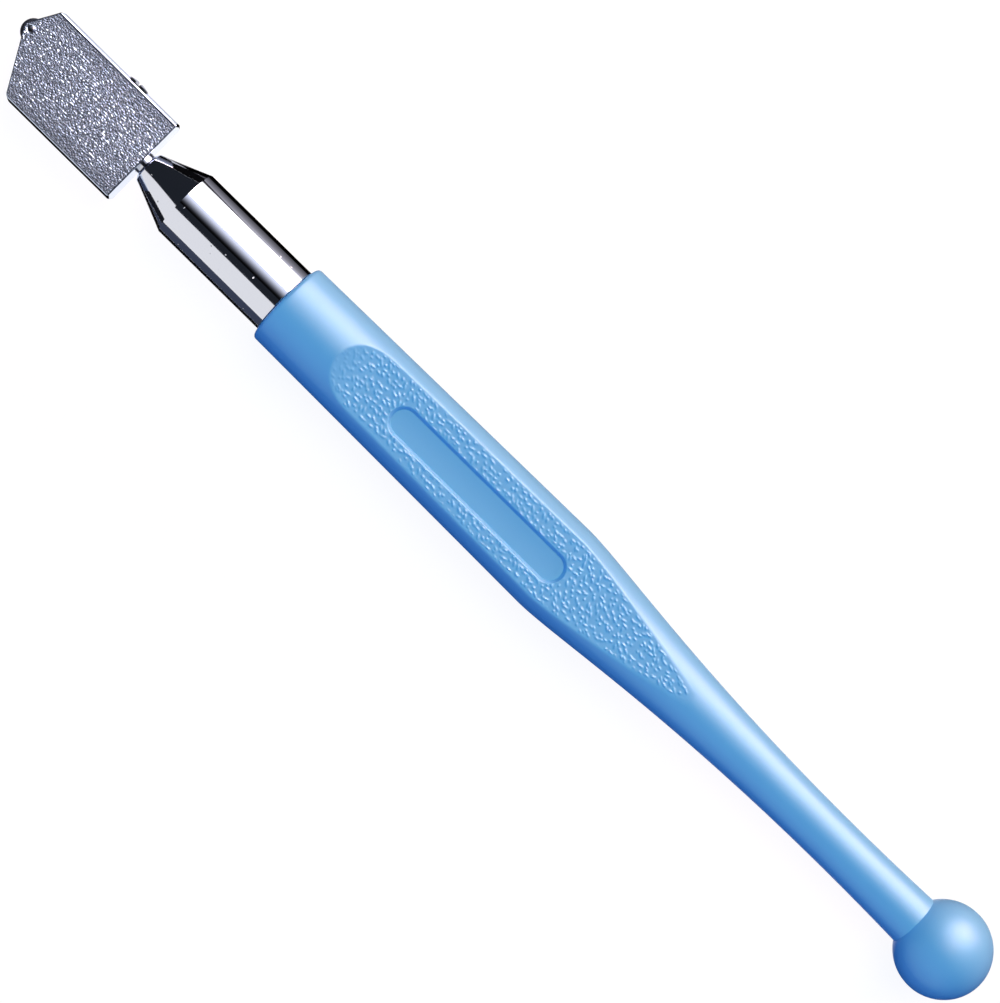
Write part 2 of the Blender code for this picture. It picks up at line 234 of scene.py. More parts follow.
handle_plastic, tree = new_finish("moulded_blue_plastic")
place = add_node(tree, "ShaderNodeTexCoord")
clouds = add_node(tree, "ShaderNodeTexNoise", {
    "Vector": place.outputs["Object"], "Scale": 180.0, "Detail": 3.0})
tint = add_node(tree, "ShaderNodeMix", {"Factor": clouds.outputs["Fac"], "A": linear(HANDLE_BLUE),
                                        "B": linear(HANDLE_BLUE_DEEP)}, data_type='RGBA')
grain = add_node(tree, "ShaderNodeTexNoise", {
    "Vector": place.outputs["Object"], "Scale": 4000.0, "Detail": 2.0})
skin = add_node(tree, "ShaderNodeBump", {
    "Height": grain.outputs["Fac"], "Strength": 0.06, "Distance": 0.01 * MM})
shader = add_node(tree, "ShaderNodeBsdfPrincipled", {
    "Base Color": tint.outputs["Result"], "Roughness": 0.38, "IOR": 1.54,
    "Specular Tint": linear("#FFD0B0"), "Normal": skin.outputs["Normal"]})
add_node(tree, "ShaderNodeOutputMaterial", {"Surface": shader.outputs["BSDF"]})

# %% [markdown]
# ## The handle
# The handle is round, so it starts as a spun profile: a rounded rim, a slow swell to the belly, an S-curve
# down to the thin stem and the ball. The grip flats could be cut with Booleans, but then their edges would be
# razor-sharp. Pressing the round surface down with a smooth minimum instead gives the soft edge of a
# moulding. One line of the mesh is moved onto that edge, so that it runs clean.

# %% Handle sizes
RIM_RADIUS = 6.1 * MM
RIM_ROUND = 0.6 * MM
BELLY_RADIUS = 6.55 * MM
BELLY_BACK = 48.5 * MM
STEM_RADIUS = 3.43 * MM
STEM_BACK = 100.0 * MM
STEM_FLARE_RADIUS = 3.65 * MM
BALL_RADIUS = 6.48 * MM
BELLY_PULL = 6.4 * MM
STEM_PULL = 29.0 * MM
HANDLE_LENGTH = RIM_X - TAIL_X
SEAT_RADIUS = 5.05 * MM
SEAT_DEPTH = 6.3 * MM
SOCKET_RADIUS = 3.05 * MM
SOCKET_DEPTH = 24.3 * MM
FLAT_HEIGHT = 4.4 * MM
FLAT_BACK = 15.6 * MM
FLAT_RUNOUT = 9.6 * MM
FLAT_FRONT_BACK = 9.0 * MM
FLAT_END_BACK = 77.0 * MM
FLAT_EDGE_ROUND = 0.13 * MM
MOUTH_DEPTH = 0.3 * MM
MOUTH_ROUND = 0.08 * MM

# %% Handle profile
FINE_RING = 0.125 * MM
PLAIN_RING = 0.6 * MM
FINE_SWEEP = math.radians(104.0)
FRONT_STEPS = 88
BACK_STEPS = 36
SIDE_STEPS = 11
RIM_STEPS = 8
FLARE_STEPS = 8
BALL_STEPS = 40


def blend_curve(a, b, c, d, t):
    """A cubic curve between a and d, pulled towards b and c."""
    return a * (1 - t) ** 3 + b * 3 * t * (1 - t) ** 2 + c * 3 * t * t * (1 - t) + d * t ** 3


def handle_profile():
    """Points (distance behind the rim, radius), from the socket's floor round to the ball's end."""
    points = [(SOCKET_DEPTH, 0.0), (SOCKET_DEPTH, SOCKET_RADIUS), (SEAT_DEPTH, SOCKET_RADIUS)]
    points += [(SEAT_DEPTH, SEAT_RADIUS), (MOUTH_DEPTH, SEAT_RADIUS)]
    points += [(MOUTH_ROUND, SEAT_RADIUS + MOUTH_ROUND), (0.0, SEAT_RADIUS + MOUTH_DEPTH)]
    for k in range(RIM_STEPS + 1):
        turn = math.pi / 2 * k / RIM_STEPS
        points.append((RIM_ROUND * (1 - math.cos(turn)), RIM_RADIUS - RIM_ROUND * (1 - math.sin(turn))))
    back = RIM_ROUND
    while back < BELLY_BACK - FINE_RING:
        back += FINE_RING if back > FLAT_FRONT_BACK else PLAIN_RING
        t = (back - RIM_ROUND) / (BELLY_BACK - RIM_ROUND)
        points.append((back, RIM_RADIUS + (BELLY_RADIUS - RIM_RADIUS) * t))
    t = 0.0
    while t < 1.0:
        back = blend_curve(BELLY_BACK, BELLY_BACK + BELLY_PULL, STEM_BACK - STEM_PULL, STEM_BACK, t)
        points.append((back, blend_curve(BELLY_RADIUS, BELLY_RADIUS, STEM_RADIUS, STEM_RADIUS, t)))
        t += (FINE_RING if back < FLAT_END_BACK else PLAIN_RING) / (STEM_BACK - BELLY_BACK)
    points.append((STEM_BACK, STEM_RADIUS))
    ball_back = HANDLE_LENGTH - BALL_RADIUS
    start = math.acos(STEM_FLARE_RADIUS / BALL_RADIUS)
    flare_length = ball_back - BALL_RADIUS * math.sin(start) - STEM_BACK
    for k in range(1, FLARE_STEPS):
        t = k / FLARE_STEPS
        points.append((STEM_BACK + flare_length * t, STEM_RADIUS + (STEM_FLARE_RADIUS - STEM_RADIUS) * t * t))
    for k in range(BALL_STEPS + 1):
        turn = start - (start + math.pi / 2) * k / BALL_STEPS
        points.append((ball_back - BALL_RADIUS * math.sin(turn), BALL_RADIUS * math.cos(turn)))
    return points


# %% [markdown]
# ## Pebbled grip flats
# The flats have small raised pebbles, less than a millimetre apart. They are wide enough to see, so they are
# real relief in the mesh. The flat is divided into cells and each cell gets one long pebble, which is shifted
# and turned by chance so that no two look alike. The relief fades out just before the edge of the flat.

# %% Pebbles
PEBBLE_SPACING = 0.78 * MM
PEBBLE_LENGTH = 0.56
PEBBLE_SHORTEST = 0.5
PEBBLE_LOWEST = 0.75
PEBBLE_WIDTH = 0.29
PEBBLE_HEIGHT = 0.18 * MM
PEBBLE_SCATTER = 0.8
PEBBLE_TURN = math.radians(158.0)
PEBBLE_TURN_SPREAD = math.radians(90.0)
PEBBLE_FADE = 0.25 * MM
PEBBLE_MARGIN = 0.18 * MM
FAINT_BACK = 9.0 * MM
FULL_BACK = 14.5 * MM
CELL_MIDDLE = Vector((0.5, 0.5, 0.5))
OTHER_FLAT_LAYER = 9
LENGTH_LAYER = 4


@lru_cache(maxsize=None)
def pebble_in_cell(column, row, side):
    """Where the pebble of one cell lies, the direction in which it is long, its length and its height."""
    cell = Vector((column, row, side * OTHER_FLAT_LAYER)) + CELL_MIDDLE
    chance = noise.cell_vector(cell)
    turn = PEBBLE_TURN + PEBBLE_TURN_SPREAD * (chance.z - 0.5)
    length = PEBBLE_LENGTH * (1 - (1 - PEBBLE_SHORTEST) * noise.cell(cell + UP * LENGTH_LAYER))
    return (column + 0.5 + PEBBLE_SCATTER * (chance.x - 0.5), row + 0.5 + PEBBLE_SCATTER * (chance.y - 0.5),
            math.cos(turn), math.sin(turn), length,
            PEBBLE_LOWEST + (1 - PEBBLE_LOWEST) * noise.cell(cell))


def pebble(x, y, side):
    """Height from 0 to 1 of the pebbles on one flat."""
    across = x / PEBBLE_SPACING
    up = y / PEBBLE_SPACING
    highest = 0.0
    for column in range(math.floor(across) - 1, math.floor(across) + 2):
        for row in range(math.floor(up) - 1, math.floor(up) + 2):
            middle_x, middle_y, long_x, long_y, length, height = pebble_in_cell(column, row, side)
            dx = across - middle_x
            dy = up - middle_y
            along = (dx * long_x + dy * long_y) / length
            beside = (dx * long_y - dy * long_x) / PEBBLE_WIDTH
            rise = max(0.0, 1 - along * along - beside * beside)
            highest = max(highest, height * rise * rise)
    return highest


def flat_height(back):
    """How far from the axis the flat lies at a distance behind the rim."""
    ahead = FLAT_BACK - back
    if ahead <= 0.0:
        return FLAT_HEIGHT
    if ahead >= FLAT_RUNOUT:
        return BELLY_RADIUS * 2
    return FLAT_HEIGHT + FLAT_RUNOUT - math.sqrt(FLAT_RUNOUT ** 2 - ahead ** 2)


def snapped(turn, edge, steps):
    """Shift evenly spaced turns so that the one nearest to the flat's edge lies on it."""
    half = FINE_SWEEP / 2
    near = round(edge / half * steps) * half / steps
    if turn >= half or not 0.0 < near < half:
        return turn
    if turn <= near:
        return turn * edge / near
    return edge + (turn - near) * (half - edge) / (half - near)


def press_flats(shape):
    """Press both grip flats and their pebbles into the round handle."""
    for vert in shape.verts:
        back = RIM_X - vert.co.x
        level = flat_height(back)
        rise = vert.co.z - AXIS_Z
        radius = math.hypot(vert.co.y, rise)
        if radius <= level or not 0.0 < back < STEM_BACK:
            continue
        side = math.copysign(1.0, rise)
        turn = math.atan2(abs(vert.co.y), abs(rise))
        turn = snapped(turn, math.acos(level / radius), (FRONT_STEPS if side > 0 else BACK_STEPS) // 2)
        over = radius * math.cos(turn) - level
        soft = max(FLAT_EDGE_ROUND - abs(over), 0.0) ** 2 / (4 * FLAT_EDGE_ROUND)
        height = level + min(over, 0.0) - soft
        vert.co.y = math.copysign(radius * math.sin(turn), vert.co.y)
        room = math.sqrt(radius ** 2 - level ** 2) - abs(vert.co.y) - PEBBLE_MARGIN
        strength = min(max(room / PEBBLE_FADE, 0.0), 1.0)
        if strength > 0.0:
            strength *= min(max((back - FAINT_BACK) / (FULL_BACK - FAINT_BACK), 0.0), 1.0)
            height += strength * PEBBLE_HEIGHT * pebble(vert.co.x, vert.co.y, side)
        vert.co.z = AXIS_Z + side * height


# %% Spin the handle and press its flats
shape = bmesh.new()
tilt = Vector((0.0, -math.sin(FINE_SWEEP / 2), math.cos(FINE_SWEEP / 2)))
places = [ON_AXIS + ALONG * (RIM_X - back) + tilt * radius for back, radius in handle_profile()]
verts = [shape.verts.new(place) for place in places]
geom = verts + [shape.edges.new(pair) for pair in zip(verts, verts[1:])]
side_sweep = math.pi - FINE_SWEEP
for sweep, steps in ((FINE_SWEEP, FRONT_STEPS), (side_sweep, SIDE_STEPS), (FINE_SWEEP, BACK_STEPS),
                     (side_sweep, SIDE_STEPS)):
    geom = bmesh.ops.spin(shape, geom=geom, cent=ON_AXIS, axis=-ALONG, angle=sweep, steps=steps)["geom_last"]
bmesh.ops.remove_doubles(shape, verts=shape.verts, dist=MERGE)
bmesh.ops.recalc_face_normals(shape, faces=shape.faces)
press_flats(shape)
handle = to_object(shape, "moulded_handle")

# %% [markdown]
# ## The smooth recess
# In the front flat lies a long recess with round ends and a smooth floor. Its lip is rounded, which gives the
# thin bright line along its edge. The cutter is one outline that is raised above the flat and then inset
# downwards, step by step, round the lip and along the wall to the floor.

# %% Cut the recess
RECESS_BACK = 19.75 * MM
RECESS_LENGTH = 30.6 * MM
RECESS_WIDTH = 4.46 * MM
RECESS_DEPTH = 0.6 * MM
RECESS_LIP = 0.2 * MM
RECESS_LEAN = 0.3 * MM
RECESS_SIDE_SHIFT = 0.38 * MM
RECESS_END_STEPS = 32
LIP_STEPS = 5
HANDLE_SHARP = math.radians(32.0)

shape = bmesh.new()
outline = []
end_radius = RECESS_WIDTH / 2
mouth = AXIS_Z + FLAT_HEIGHT
for end, first in ((RECESS_BACK + end_radius, -0.5), (RECESS_BACK + RECESS_LENGTH - end_radius, 0.5)):
    for k in range(RECESS_END_STEPS + 1):
        turn = math.pi * (first + k / RECESS_END_STEPS)
        outline.append((RIM_X - end + end_radius * math.cos(turn),
                        RECESS_SIDE_SHIFT + end_radius * math.sin(turn), mouth))
face = shape.faces.new([shape.verts.new(place) for place in outline])
raised = bmesh.ops.extrude_face_region(shape, geom=[face], use_keep_orig=True)["geom"]
bmesh.ops.translate(shape, verts=[v for v in raised if isinstance(v, bmesh.types.BMVert)], vec=UP * MM)
turns = [math.pi / 2 * k / LIP_STEPS for k in range(LIP_STEPS + 1)]
levels = [(RECESS_LIP * math.sin(turn), RECESS_LIP * (1 - math.cos(turn))) for turn in turns]
levels.append((RECESS_LIP + RECESS_LEAN, RECESS_DEPTH))
for (inset, depth), (next_inset, next_depth) in zip(levels, levels[1:]):
    bmesh.ops.inset_region(shape, faces=[face], thickness=next_inset - inset, depth=0.0, use_even_offset=True)
    bmesh.ops.translate(shape, verts=face.verts, vec=-UP * (next_depth - depth))
bmesh.ops.recalc_face_normals(shape, faces=shape.faces)
cut_away(handle, to_object(shape, "recess_cutter"))
dress(handle, "handle", "handle", handle_plastic, HANDLE_SHARP)

# %% [markdown]
# ## Chrome plate
# The ferrule was turned from bar, polished and chrome plated. Chrome is nearly a mirror with a faint blue
# cast, so its looks come from what surrounds it. Fine turning marks round the axis survive under the plating,
# and a few tiny pits sparkle in it.

# %% Ferrule finish
chrome_plate, tree = new_finish("polished_chrome_plate")
place = add_node(tree, "ShaderNodeTexCoord")
stretch = add_node(tree, "ShaderNodeMapping", {
    "Vector": place.outputs["Object"], "Scale": (9000.0, 300.0, 300.0)})
marks = add_node(tree, "ShaderNodeTexNoise", {
    "Vector": stretch.outputs["Vector"], "Scale": 1.0, "Detail": 2.0})
turning = add_node(tree, "ShaderNodeBump", {
    "Height": marks.outputs["Fac"], "Strength": 0.02, "Distance": 0.01 * MM})
spots = add_node(tree, "ShaderNodeTexVoronoi", {"Vector": place.outputs["Object"], "Scale": 600.0})
pits = add_node(tree, "ShaderNodeMapRange", {"Value": spots.outputs["Distance"], "From Max": 0.075})
pitted = add_node(tree, "ShaderNodeBump", {
    "Height": pits.outputs["Result"], "Strength": 1.0, "Distance": 0.06 * MM,
    "Normal": turning.outputs["Normal"]})
shader = add_node(tree, "ShaderNodeBsdfPrincipled", {
    "Base Color": linear("#DEDFE6"), "Metallic": 1.0, "Roughness": 0.07, "Normal": pitted.outputs["Normal"]})
add_node(tree, "ShaderNodeOutputMaterial", {"Surface": shader.outputs["BSDF"]})

# %% Turn the ferrule
FERRULE_RADIUS = (ferrule_high.y - ferrule_low.y) / 2
FERRULE_CYLINDER = 18.1 * MM
CONE_LENGTH = 6.55 * MM
NOSE_RADIUS = 2.375 * MM
NOSE_LIP = 0.25 * MM
PIN_RADIUS = (pin_high.y - pin_low.y) / 2
PIN_FIT = 0.05 * MM
PIN_HOLE_DEPTH = 10.3 * MM
FERRULE_SEAT = 6.0 * MM
SHANK_RADIUS = 3.0 * MM
TURNED_EDGE = 0.12 * MM
RIM_RELIEF = 0.1 * MM
FERRULE_STEPS = 160
FERRULE_EDGE_STEPS = 4
FERRULE_SHARP = math.radians(50.0)

nose_x = ferrule_high.x
hole = PIN_RADIUS + PIN_FIT
profile = soften([
    (nose_x - PIN_HOLE_DEPTH, 0.0),
    (nose_x - PIN_HOLE_DEPTH, hole),
    (nose_x, hole),
    (nose_x, hole + NOSE_LIP),
    (RIM_X + FERRULE_CYLINDER + CONE_LENGTH, NOSE_RADIUS),
    (RIM_X + FERRULE_CYLINDER, FERRULE_RADIUS),
    (RIM_X + 2 * RIM_RELIEF, FERRULE_RADIUS),
    (RIM_X + RIM_RELIEF, FERRULE_RADIUS - RIM_RELIEF),
    (RIM_X - RIM_RELIEF, FERRULE_RADIUS - RIM_RELIEF),
    (RIM_X - 2 * RIM_RELIEF, FERRULE_RADIUS),
    (RIM_X - FERRULE_SEAT, FERRULE_RADIUS),
    (RIM_X - FERRULE_SEAT, SHANK_RADIUS),
    (ferrule_low.x, SHANK_RADIUS),
    (ferrule_low.x, 0.0),
], TURNED_EDGE, FERRULE_EDGE_STEPS)
ferrule = to_object(turned(profile, ON_AXIS, ALONG, UP, FERRULE_STEPS), "chrome_ferrule")
dress(ferrule, "ferrule", "handle", chrome_plate, FERRULE_SHARP)

# %% [markdown]
# ## Ground steel
# The pin, the axle and the screw are small steel pieces with a ground surface: grey, clean and a little
# duller than chrome.

# %% Steel finish
ground_steel, tree = new_finish("ground_steel")
place = add_node(tree, "ShaderNodeTexCoord")
marks = add_node(tree, "ShaderNodeTexNoise", {
    "Vector": place.outputs["Object"], "Scale": 6000.0, "Detail": 3.0})
dull = add_node(tree, "ShaderNodeMapRange", {"Value": marks.outputs["Fac"], "To Min": 0.06, "To Max": 0.12})
shader = add_node(tree, "ShaderNodeBsdfPrincipled", {
    "Base Color": linear("#C9CAD0"), "Metallic": 1.0, "Roughness": dull.outputs["Result"]})
add_node(tree, "ShaderNodeOutputMaterial", {"Surface": shader.outputs["BSDF"]})

# %% The swivel pin
PIN_CHAMFER = 0.3 * MM
PIN_FLAT_HALF = 1.15 * MM
PIN_FLAT_SIDE = 0.9 * MM
PIN_STEPS = 96
PIN_EDGE_STEPS = 3
METAL_SHARP = math.radians(40.0)

profile = soften([
    (pin_high.x, 0.0),
    (pin_high.x, PIN_RADIUS - PIN_CHAMFER),
    (pin_high.x - PIN_CHAMFER, PIN_RADIUS),
    (pin_low.x + PIN_CHAMFER, PIN_RADIUS),
    (pin_low.x, PIN_RADIUS - PIN_CHAMFER),
    (pin_low.x, 0.0),
], TURNED_EDGE, PIN_EDGE_STEPS)
pin = to_object(turned(profile, ON_AXIS, ALONG, UP, PIN_STEPS), "steel_swivel_pin")
screw_x = (screw_low.x + screw_high.x) / 2
shape = bmesh.new()
bmesh.ops.create_cube(shape, size=1.0)
bmesh.ops.scale(shape, verts=shape.verts, vec=(2 * PIN_FLAT_HALF, PIN_RADIUS, 4 * PIN_RADIUS))
bmesh.ops.translate(shape, verts=shape.verts, vec=(screw_x, -PIN_FLAT_SIDE - PIN_RADIUS / 2, AXIS_Z))
cut_away(pin, to_object(shape, "pin_flat_cutter"))
dress(pin, "swivel_pin", "handle", ground_steel, METAL_SHARP)

# %% [markdown]
# ## Hammered plating
# The head is a casting whose broad faces were left hammered and then plated, so they glitter in small grains
# of white and slate. The narrow edges were polished bright. An attribute of the mesh says where it is
# hammered, and makes the surface duller there.

# %% Head finish
plated_casting, tree = new_finish("hammered_plated_casting")
place = add_node(tree, "ShaderNodeTexCoord")
speck = add_node(tree, "ShaderNodeTexNoise", {
    "Vector": place.outputs["Object"], "Scale": 9000.0, "Detail": 2.0})
rough = add_node(tree, "ShaderNodeMapRange", {
    "Value": speck.outputs["Fac"], "To Min": 0.215, "To Max": 0.305})
hammered = add_node(tree, "ShaderNodeAttribute", attribute_name="hammered")
dull = add_node(tree, "ShaderNodeMapRange", {"Value": hammered.outputs["Fac"], "To Min": 0.1,
                                             "To Max": rough.outputs["Result"]})
fine = add_node(tree, "ShaderNodeBump", {
    "Height": speck.outputs["Fac"], "Strength": 0.3, "Distance": 0.02 * MM})
shader = add_node(tree, "ShaderNodeBsdfPrincipled", {
    "Base Color": linear("#E0EBFF"), "Metallic": 1.0, "Roughness": dull.outputs["Result"],
    "Normal": fine.outputs["Normal"]})
add_node(tree, "ShaderNodeOutputMaterial", {"Surface": shader.outputs["BSDF"]})

# %% [markdown]
# ## The cast head
# The head is a plate with an off-centre point. It starts as its outline and is pushed to its thickness. A cut
# round the middle is then widened, because a casting needs a little draft to leave its mould. Last come the
# rounded edges and the holes: the bore for the pin, the seat of the screw, the saw slot for the wheel and
# the countersunk hole for its axle.

# %% Head blank
HEAD_LENGTH = 23.2 * MM
POINT_OFFSET = 2.2 * MM
POINT_SLOPE = math.tan(math.radians(28.5))
CORNER_ROUNDS = [0.3 * MM, 0.3 * MM, 0.9 * MM, 0.7 * MM, 0.4 * MM]
HEAD_EDGE = 0.13 * MM
HEAD_DRAFT = 0.3 * MM
CORNER_STEPS = 10
HEAD_EDGE_STEPS = 8
HEAD_HALF_WIDTH = head_high.y
HEAD_HALF_THICK = (head_high.z - head_low.z) / 2

half = HEAD_HALF_WIDTH
corners = [
    (HEAD_BASE_X, -half),
    (HEAD_BASE_X, half),
    (HEAD_BASE_X + HEAD_LENGTH - (half + POINT_OFFSET) * POINT_SLOPE, half),
    (HEAD_BASE_X + HEAD_LENGTH, -POINT_OFFSET),
    (HEAD_BASE_X + HEAD_LENGTH - (half - POINT_OFFSET) * POINT_SLOPE, -half),
]
outline = soften(corners, CORNER_ROUNDS, CORNER_STEPS, closed=True)
narrowing = 1 - HEAD_DRAFT / half
shape = bmesh.new()
face = shape.faces.new([shape.verts.new((x, y * narrowing, AXIS_Z - HEAD_HALF_THICK)) for x, y in outline])
raised = bmesh.ops.extrude_face_region(shape, geom=[face], use_keep_orig=True)["geom"]
verts = [v for v in raised if isinstance(v, bmesh.types.BMVert)]
bmesh.ops.translate(shape, verts=verts, vec=UP * 2 * HEAD_HALF_THICK)
everything = shape.verts[:] + shape.edges[:] + shape.faces[:]
middle = bmesh.ops.bisect_plane(shape, geom=everything, plane_co=ON_AXIS, plane_no=UP)["geom_cut"]
verts = [v for v in middle if isinstance(v, bmesh.types.BMVert)]
bmesh.ops.scale(shape, verts=verts, vec=(1.0, 1 / narrowing, 1.0))
bmesh.ops.recalc_face_normals(shape, faces=shape.faces)
rims = [e for e in shape.edges if abs(e.verts[0].co.z - e.verts[1].co.z) < MERGE and
        abs(e.verts[0].co.z - AXIS_Z) > MERGE]
bmesh.ops.bevel(shape, geom=rims, offset=HEAD_EDGE, offset_type='OFFSET', segments=HEAD_EDGE_STEPS,
                profile=0.5, affect='EDGES', material=-1, clamp_overlap=True)
head = to_object(shape, "cast_head")

# %% Holes in the head
WHEEL_CENTRE = (wheel_low + wheel_high) / 2
WHEEL_RADIUS = (wheel_high.x - wheel_low.x) / 2
WHEEL_HALF_THICK = (wheel_high.z - wheel_low.z) / 2
AXLE_RADIUS = (axle_high.x - axle_low.x) / 2
SCREW_RADIUS = (screw_high.x - screw_low.x) / 2
PIN_BORE_DEPTH = 11.3 * MM
SCREW_SEAT_DEPTH = 0.7 * MM
SCREW_HOLE_RADIUS = 0.9 * MM
SAW_RADIUS = 5.0 * MM
SLOT_SIDE_GAP = 0.08 * MM
SLOT_ROOT_GAP = 0.35 * MM
SINK_WIDTH = 0.18 * MM
SINK_DEPTH = 0.16 * MM
SINK_REACH = 3
DRILL_STEPS = 64

ACROSS = Vector((0.0, -1.0, 0.0))


def rod(radius, low, high):
    """The profile of a round drill between two places on its axis."""
    return [(high, 0.0), (high, radius), (low, radius), (low, 0.0)]


screw_centre = Vector((screw_x, 0.0, AXIS_Z))
saw_centre = WHEEL_CENTRE + ALONG * (SAW_RADIUS - WHEEL_RADIUS - SLOT_ROOT_GAP)
slot_half = WHEEL_HALF_THICK + SLOT_SIDE_GAP
axle_hole = AXLE_RADIUS + PIN_FIT / 2
sink = HEAD_HALF_THICK - SINK_DEPTH
sink_top = sink + SINK_REACH * SINK_DEPTH
sink_radius = axle_hole + SINK_REACH * SINK_WIDTH
countersink = [(sink_top, 0.0), (sink_top, sink_radius), (sink, axle_hole), (sink, 0.0)]
drills = (
    (ON_AXIS, ALONG, UP, rod(PIN_RADIUS + PIN_FIT, HEAD_BASE_X - MM, HEAD_BASE_X + PIN_BORE_DEPTH)),
    (screw_centre, ACROSS, UP, rod(SCREW_HOLE_RADIUS, 0.0, half)),
    (screw_centre, ACROSS, UP, rod(SCREW_RADIUS + PIN_FIT, half - SCREW_SEAT_DEPTH, half + MM)),
    (saw_centre, UP, ALONG, rod(SAW_RADIUS, -slot_half, slot_half)),
    (WHEEL_CENTRE, UP, ALONG, rod(axle_hole, -2 * sink, 2 * sink)),
    (WHEEL_CENTRE, UP, ALONG, countersink),
    (WHEEL_CENTRE, -UP, ALONG, countersink),
)
for centre, axis, outward, profile in drills:
    cut_away(head, to_object(turned(profile, centre, axis, outward, DRILL_STEPS), "drill"))

# %% [markdown]
# ## Hammered relief
# A bump map would vanish at the edge of a close view, so the grains are real. The two broad faces are sliced
# into a fine grid with bisecting planes, which also split the neighbouring edge faces, so the mesh stays
# closed. Then each point of the grid moves in or out, so that low domes stand side by side. Each dome is
# about a fifth of a millimetre wide and belongs to one cell of a random pattern. The domes are lower towards
# the two long edges, where hands and rulers have worn them.

# %% Slice and hammer the broad faces
GRIDS = ((1, 0.098 * MM, 0.058 * MM), (-1, 0.13 * MM, 0.11 * MM))
GRAIN = 0.165 * MM
GRAIN_STRETCH = 1.3
DOME_TOP = 0.2
GRAIN_HEIGHT = 0.083 * MM
GRAIN_FADE = 0.06 * MM
GRAIN_LAYER = 7.0 * MM
FACES_UP = 0.999
WORN_HEIGHT = 0.4
WORN_WIDTH = 2.6 * MM
FACE_MARGINS = (0.0, 0.0, 0.0, 0.0, 0.16 * MM)


def grain_height(x, y, side):
    """Height of the low domes on one broad face, in steps of one grain."""
    distances, _ = noise.voronoi(Vector((x / GRAIN_STRETCH, y, side * GRAIN_LAYER)) / GRAIN)
    return DOME_TOP - distances[0] ** 2


shape = bmesh.new()
shape.from_mesh(head.data)
hammered = shape.verts.layers.float.new("hammered")
inner = [Vector((x, y * narrowing)) for x, y in corners]
walls = []
for a, b, margin in zip(inner, inner[1:] + inner[:1], FACE_MARGINS):
    walls.append((a, Vector((b.y - a.y, a.x - b.x)).normalized(), margin))
for side, along, across in GRIDS:
    level = AXIS_Z + side * HEAD_HALF_THICK
    broad = [f for f in shape.faces
             if f.normal.z * side > FACES_UP and abs(f.calc_center_median().z - level) < MERGE]
    geom = list({v for f in broad for v in f.verts}) + list({e for f in broad for e in f.edges}) + broad
    cuts = [(ALONG, HEAD_BASE_X + along * k) for k in range(1, int(HEAD_LENGTH / along))]
    cuts += [(ACROSS, half - across * k) for k in range(1, int(2 * half / across))]
    for normal, place in cuts:
        geom = bmesh.ops.bisect_plane(shape, geom=geom, dist=MERGE, plane_co=normal * place,
                                      plane_no=normal)["geom"]
    for vert in {v for v in geom if isinstance(v, bmesh.types.BMVert)}:
        spot = vert.co.xy
        room = min(abs((spot - start).dot(normal)) - margin for start, normal, margin in walls) - HEAD_EDGE
        room = min(room, (spot - WHEEL_CENTRE.xy).length - AXLE_RADIUS - SINK_WIDTH)
        strength = min(max(room / GRAIN_FADE, 0.0), 1.0)
        vert[hammered] = strength
        inwards = min((half - abs(spot.y)) / WORN_WIDTH, 1.0)
        strength *= WORN_HEIGHT + (1 - WORN_HEIGHT) * inwards
        vert.co.z += side * strength * GRAIN_HEIGHT * grain_height(spot.x, spot.y, side)
shape.to_mesh(head.data)
shape.free()
dress(head, "head_body", "head", plated_casting, METAL_SHARP)

# %% [markdown]
# ## Hard-metal wheel
# The wheel is sintered tungsten carbide, ground to a blunt V. It is almost black beside the chrome, with a
# satin shine on the ground flanks.

# %% Wheel finish
hard_metal, tree = new_finish("ground_hard_metal")
place = add_node(tree, "ShaderNodeTexCoord")
marks = add_node(tree, "ShaderNodeTexNoise", {
    "Vector": place.outputs["Object"], "Scale": 9000.0, "Detail": 3.0})
dull = add_node(tree, "ShaderNodeMapRange", {"Value": marks.outputs["Fac"], "To Min": 0.22, "To Max": 0.38})
shader = add_node(tree, "ShaderNodeBsdfPrincipled", {
    "Base Color": linear("#5A5C66"), "Metallic": 1.0, "Roughness": dull.outputs["Result"]})
add_node(tree, "ShaderNodeOutputMaterial", {"Surface": shader.outputs["BSDF"]})

# %% Turn the wheel and its axle
WHEEL_FIT = 0.04 * MM
WHEEL_LAND = 0.146 * MM
SMALL_EDGE = 0.03 * MM
SMALL_EDGE_STEPS = 2
AXLE_EDGE_STEPS = 3
WHEEL_STEPS = 96
AXLE_STEPS = 64

bore = AXLE_RADIUS + WHEEL_FIT
thick = WHEEL_HALF_THICK
profile = soften([(thick, bore), (thick, WHEEL_RADIUS - WHEEL_LAND), (0.0, WHEEL_RADIUS),
                  (-thick, WHEEL_RADIUS - WHEEL_LAND), (-thick, bore)],
                 SMALL_EDGE, SMALL_EDGE_STEPS, closed=True)
wheel = to_object(turned(profile, WHEEL_CENTRE, UP, ALONG, WHEEL_STEPS, closed=True), "carbide_wheel")
dress(wheel, "cutting_wheel", "wheel", hard_metal, METAL_SHARP)

axle_half = (axle_high.z - axle_low.z) / 2
profile = soften([(axle_half, 0.0), (axle_half, AXLE_RADIUS), (-axle_half, AXLE_RADIUS), (-axle_half, 0.0)],
                 SMALL_EDGE, AXLE_EDGE_STEPS)
axle = to_object(turned(profile, WHEEL_CENTRE, UP, ALONG, AXLE_STEPS), "axle_pin")
dress(axle, "wheel_axle", "head", ground_steel, METAL_SHARP)

# %% [markdown]
# ## The screw
# A small slotted screw sits in the long side of the head. Only its low dome shows, so the dome and its slot
# are made with care and the thread is left out.

